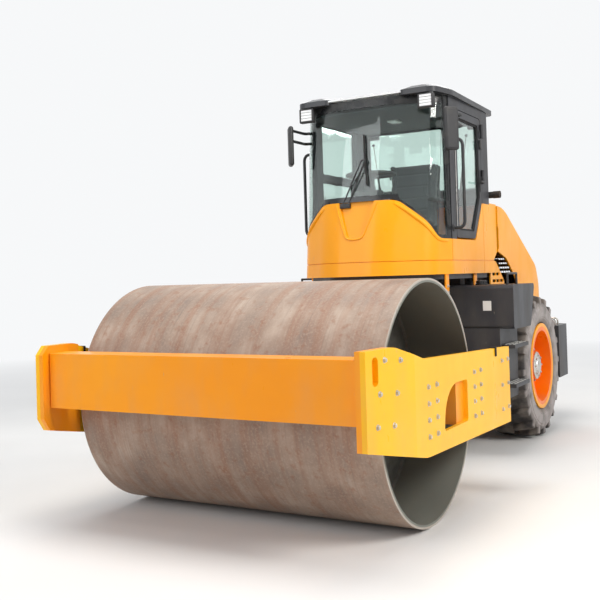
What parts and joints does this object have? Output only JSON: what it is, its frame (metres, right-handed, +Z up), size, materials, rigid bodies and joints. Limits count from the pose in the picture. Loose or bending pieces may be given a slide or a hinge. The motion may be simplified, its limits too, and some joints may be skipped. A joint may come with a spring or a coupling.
{
  "type": "road roller",
  "caption": "Road roller with a smooth steel drum in an articulated front frame, a glazed cab, a tilting hood and lugged rear tyres.",
  "frame": {"origin": "on the ground under the middle of the whole machine", "axes": "+X forward towards the drum, +Y to the machine's left, +Z up"},
  "size_m": [5.42, 2.38, 3.0198],
  "materials": {
    "yellow_paint": "gloss paint",
    "orange_paint": "gloss paint",
    "charcoal_paint": "satin paint",
    "drum_steel": "rolled steel with light rust",
    "machine_steel": "machined",
    "cast_parts": "painted casting",
    "tyre_rubber": "dusty rubber",
    "cab_glass": "green tinted",
    "black_trim": "grained",
    "seat_cover": "woven",
    "red_lens": "prismatic",
    "amber_lens": "prismatic",
    "clear_lens": "clear lens",
    "filter_blue": "gloss paint"
  },
  "bodies": {
    "rear_frame": {"chassis": "charcoal_paint", "cab_deck": "charcoal_paint", "rear_axle": "cast_parts", "cab_base": "yellow_paint", "cab_skirt": "yellow_paint", "cab_apron": "yellow_paint", "windshield": "cab_glass", "cab_frame": "charcoal_paint", "right_windows": "cab_glass", "rear_window": "cab_glass", "cab_roof": "charcoal_paint", "roof_visor": "clear_lens", "engine_block": "cast_parts", "radiator": "black_trim", "louvre_panels": "yellow_paint", "fuel_tank": "charcoal_paint", "hydraulic_tank": "charcoal_paint", "tank_steps": "charcoal_paint", "tank_rails": "black_trim", "counterweight": "charcoal_paint", "tail_reflector": "red_lens", "corner_lamps": "red_lens", "amber_lamps": "amber_lens", "cowl_cover": "yellow_paint", "muffler": "cast_parts", "air_cleaner": "black_trim", "seat": "seat_cover", "steering_console": "black_trim", "grab_handles": "black_trim", "mirrors": "black_trim", "work_lamps": "clear_lens", "hydraulic_filters": "filter_blue"},
    "centre_yoke": {"steering_yoke": "cast_parts"},
    "front_frame": {"front_beam": "orange_paint", "side_plate_left": "yellow_paint", "side_plate_right": "yellow_paint", "rear_beam": "yellow_paint", "drum_mounts": "orange_paint", "drum_motors": "cast_parts", "drum_scrapers": "black_trim"},
    "drum": {"drum_shell": "drum_steel", "drum_heads": "drum_steel"},
    "wheel_left": {"rim_left": "orange_paint", "tyre_left": "tyre_rubber"},
    "wheel_right": {"rim_right": "orange_paint", "tyre_right": "tyre_rubber"},
    "door": {"door_frame": "charcoal_paint", "door_glass": "cab_glass"},
    "hood": {"hood_shell": "yellow_paint", "hood_latches": "machine_steel"},
    "barrel_left": {"steer_barrel_left": "charcoal_paint"},
    "barrel_right": {"steer_barrel_right": "charcoal_paint"},
    "rod_left": {"steer_rod_left": "machine_steel"},
    "rod_right": {"steer_rod_right": "machine_steel"}
  },
  "joints": [
    {"name": "steering", "type": "hinge", "parent": "rear_frame", "child": "centre_yoke", "pos_m": [0.305, 0, 0.7], "axis": [0, 0, 1], "range_deg": [-33, 33]},
    {"name": "oscillation", "type": "hinge", "parent": "centre_yoke", "child": "front_frame", "pos_m": [0.305, 0, 0.7], "axis": [1, 0, 0], "range_deg": [-10, 10]},
    {"name": "drum_spin", "type": "hinge", "parent": "front_frame", "child": "drum", "pos_m": [1.65, 0, 0.75], "axis": [0, 1, 0], "continuous": true},
    {"name": "wheel_left_spin", "type": "hinge", "parent": "rear_frame", "child": "wheel_left", "pos_m": [-1.5, 0.73, 0.65], "axis": [0, 1, 0], "continuous": true},
    {"name": "wheel_right_spin", "type": "hinge", "parent": "rear_frame", "child": "wheel_right", "pos_m": [-1.5, -0.73, 0.65], "axis": [0, 1, 0], "continuous": true},
    {"name": "door_swing", "type": "hinge", "parent": "rear_frame", "child": "door", "pos_m": [-0.827, 0.645, 2.3], "axis": [0, 0, 1], "range_deg": [0, 90]},
    {"name": "hood_tilt", "type": "hinge", "parent": "rear_frame", "child": "hood", "pos_m": [-1.224, 0, 2.1545], "axis": [0, 1, 0], "range_deg": [0, 45]},
    {"name": "barrel_left_swing", "type": "hinge", "parent": "rear_frame", "child": "barrel_left", "pos_m": [-0.345, 0.25, 0.7], "axis": [0, 0, 1], "range_deg": [-2.2, 2.2]},
    {"name": "barrel_right_swing", "type": "hinge", "parent": "rear_frame", "child": "barrel_right", "pos_m": [-0.345, -0.25, 0.7], "axis": [0, 0, 1], "range_deg": [-2.2, 2.2]},
    {"name": "rod_left_slide", "type": "slide", "parent": "barrel_left", "child": "rod_left", "axis": [1, 0, 0], "range_m": [-0.14, 0.14]},
    {"name": "rod_right_slide", "type": "slide", "parent": "barrel_right", "child": "rod_right", "axis": [1, 0, 0], "range_m": [-0.14, 0.14]}
  ],
  "couplings": [
    {"joint": "barrel_left_swing", "follows": "steering", "ratio": 0.064},
    {"joint": "barrel_right_swing", "follows": "steering", "ratio": 0.064},
    {"joint": "rod_left_slide", "follows": "steering", "m_per_rad": -0.239},
    {"joint": "rod_right_slide", "follows": "steering", "m_per_rad": 0.239}
  ]
}
